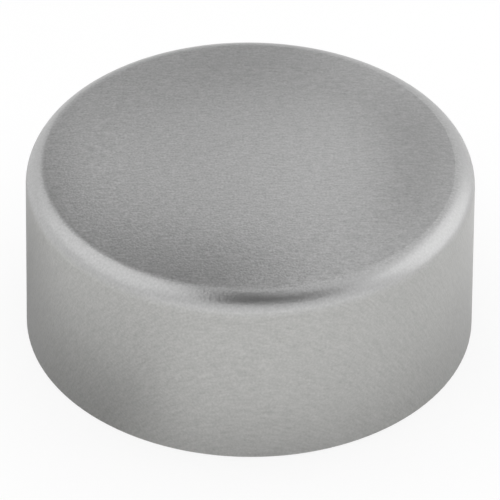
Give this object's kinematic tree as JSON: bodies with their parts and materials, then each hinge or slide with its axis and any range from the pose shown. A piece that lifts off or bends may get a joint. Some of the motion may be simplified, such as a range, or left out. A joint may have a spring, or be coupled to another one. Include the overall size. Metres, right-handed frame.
{
  "type": "bottle lid",
  "caption": "Low round satin steel screw lid: closed end eased into a rounded shoulder, plain side and an internal thread for a bottle's neck.",
  "frame": {"origin": "centre of the mouth, on the plane of the rim that the lid stands on", "axes": "+Z along the lid's axis, from the mouth to the closed end; +X is where the thread's lower end starts"},
  "size_m": [0.041, 0.041, 0.0178],
  "materials": {
    "satin_steel": "satin"
  },
  "bodies": {
    "root": {"bottle_lid": "satin_steel"}
  },
  "joints": []
}
